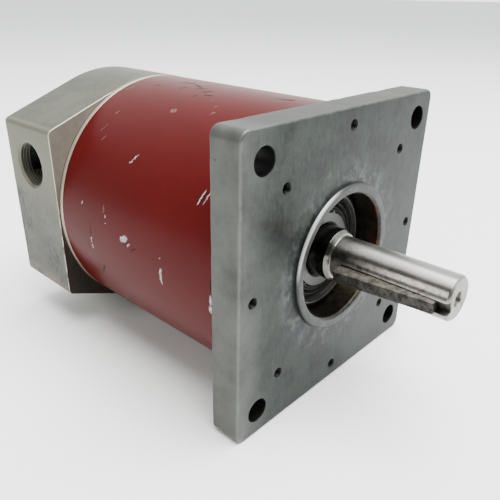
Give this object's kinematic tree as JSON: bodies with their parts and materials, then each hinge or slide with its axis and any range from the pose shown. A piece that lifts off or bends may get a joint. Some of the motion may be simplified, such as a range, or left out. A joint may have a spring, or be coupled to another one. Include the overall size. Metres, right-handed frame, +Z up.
{
  "type": "flange-mounted planetary gearmotor",
  "caption": "Geared electric motor: square mounting flange with keyed output shaft, round red drum housing, cast rear bell with a threaded conduit entry and a flat cover.",
  "frame": {"origin": "middle of the flange's bottom edge face, straight below the shaft line, so the flange stands on Z = 0", "axes": "+X along the shaft line towards the shaft's free end, +Z up, conduit entry on the -Y side"},
  "size_m": [0.1887, 0.1086, 0.1087],
  "materials": {
    "front_casting": "cast grey, machined front, dull and stained",
    "bell_casting": "as cast, warm grey, scuffed",
    "red_paint": "glossy dark red enamel, chipped",
    "shaft_steel": "ground and polished",
    "worn_key_steel": "dark, lightly rusted",
    "bearing_steel": "fine ground",
    "ball_cage": "polished balls in a pressed sheet cage",
    "black_rubber": "glossy black",
    "gear_steel": "oiled steel",
    "bronze": "sintered, oiled",
    "laminations": "stacked sheet, oxide grey",
    "copper": "enamelled wire",
    "zinc_screws": "zinc plated",
    "brass_terminals": "bright",
    "spring_steel": "phosphated",
    "terminal_plastic": "moulded black",
    "gasket": "dark green fibre",
    "lead_insulation": "pale sleeve over three wires"
  },
  "bodies": {
    "root": {"front_flange": "front_casting", "drum_shell": "red_paint", "rear_end_bell": "bell_casting", "rear_cover": "bell_casting", "rear_cover_gasket": "gasket", "rear_cover_screw_1": "zinc_screws", "rear_cover_screw_2": "zinc_screws", "rear_cover_screw_3": "zinc_screws", "rear_cover_screw_4": "zinc_screws", "tie_bolt_1": "zinc_screws", "tie_bolt_2": "zinc_screws", "tie_bolt_3": "zinc_screws", "tie_bolt_4": "zinc_screws", "ground_screw": "brass_terminals", "front_bearing_outer_ring": "bearing_steel", "front_bearing_seal": "black_rubber", "inner_bearing_outer_ring": "bearing_steel", "rotor_front_bearing_outer_ring": "bearing_steel", "rotor_rear_bearing_outer_ring": "bearing_steel", "hub_snap_ring": "spring_steel", "ring_gear": "gear_steel", "motor_plate": "front_casting", "motor_shaft_seal": "black_rubber", "stator_core": "laminations", "stator_windings": "copper", "wave_washer": "spring_steel", "terminal_block": "terminal_plastic", "terminal_screw_1": "brass_terminals", "terminal_screw_2": "brass_terminals", "terminal_screw_3": "brass_terminals", "lead_grommet": "black_rubber", "motor_lead": "lead_insulation"},
    "output": {"output_shaft": "shaft_steel", "shaft_key": "worn_key_steel", "front_bearing_inner_ring": "bearing_steel", "bearing_spacer": "shaft_steel", "inner_bearing_inner_ring": "bearing_steel", "planet_carrier": "gear_steel", "carrier_rear_plate": "gear_steel", "planet_pin_1": "gear_steel", "planet_pin_2": "gear_steel", "planet_pin_3": "gear_steel"},
    "planet_1": {"planet_gear_1": "gear_steel", "planet_bush_1": "bronze"},
    "planet_2": {"planet_gear_2": "gear_steel", "planet_bush_2": "bronze"},
    "planet_3": {"planet_gear_3": "gear_steel", "planet_bush_3": "bronze"},
    "rotor": {"rotor_shaft": "shaft_steel", "sun_gear": "gear_steel", "rotor_core": "laminations", "rotor_cage": "bell_casting", "rotor_front_bearing_inner_ring": "bearing_steel", "rotor_rear_bearing_inner_ring": "bearing_steel"},
    "front_bearing_cage": {"front_bearing_ball_cage": "ball_cage"},
    "inner_bearing_cage": {"inner_bearing_ball_cage": "ball_cage"},
    "rotor_front_bearing_cage": {"rotor_front_bearing_ball_cage": "ball_cage"},
    "rotor_rear_bearing_cage": {"rotor_rear_bearing_ball_cage": "ball_cage"}
  },
  "joints": [
    {"name": "output_spin", "type": "hinge", "parent": "root", "child": "output", "pos_m": [0, 0, 0.05435], "axis": [1, 0, 0], "continuous": true},
    {"name": "rotor_spin", "type": "hinge", "parent": "root", "child": "rotor", "pos_m": [0, 0, 0.05435], "axis": [1, 0, 0], "continuous": true},
    {"name": "planet_1_spin", "type": "hinge", "parent": "output", "child": "planet_1", "pos_m": [0, 0, 0.08135], "axis": [1, 0, 0], "continuous": true},
    {"name": "planet_2_spin", "type": "hinge", "parent": "output", "child": "planet_2", "pos_m": [0, -0.02338, 0.04085], "axis": [1, 0, 0], "continuous": true},
    {"name": "planet_3_spin", "type": "hinge", "parent": "output", "child": "planet_3", "pos_m": [0, 0.02338, 0.04085], "axis": [1, 0, 0], "continuous": true},
    {"name": "front_bearing_cage_spin", "type": "hinge", "parent": "root", "child": "front_bearing_cage", "pos_m": [0, 0, 0.05435], "axis": [1, 0, 0], "continuous": true},
    {"name": "inner_bearing_cage_spin", "type": "hinge", "parent": "root", "child": "inner_bearing_cage", "pos_m": [0, 0, 0.05435], "axis": [1, 0, 0], "continuous": true},
    {"name": "rotor_front_bearing_cage_spin", "type": "hinge", "parent": "root", "child": "rotor_front_bearing_cage", "pos_m": [0, 0, 0.05435], "axis": [1, 0, 0], "continuous": true},
    {"name": "rotor_rear_bearing_cage_spin", "type": "hinge", "parent": "root", "child": "rotor_rear_bearing_cage", "pos_m": [0, 0, 0.05435], "axis": [1, 0, 0], "continuous": true}
  ],
  "couplings": [
    {"joint": "rotor_spin", "follows": "output_spin", "ratio": 4},
    {"joint": "planet_1_spin", "follows": "output_spin", "ratio": -3},
    {"joint": "planet_2_spin", "follows": "output_spin", "ratio": -3},
    {"joint": "planet_3_spin", "follows": "output_spin", "ratio": -3},
    {"joint": "front_bearing_cage_spin", "follows": "output_spin", "ratio": 0.38806},
    {"joint": "inner_bearing_cage_spin", "follows": "output_spin", "ratio": 0.4193},
    {"joint": "rotor_front_bearing_cage_spin", "follows": "output_spin", "ratio": 1.4909},
    {"joint": "rotor_rear_bearing_cage_spin", "follows": "output_spin", "ratio": 1.4909}
  ]
}
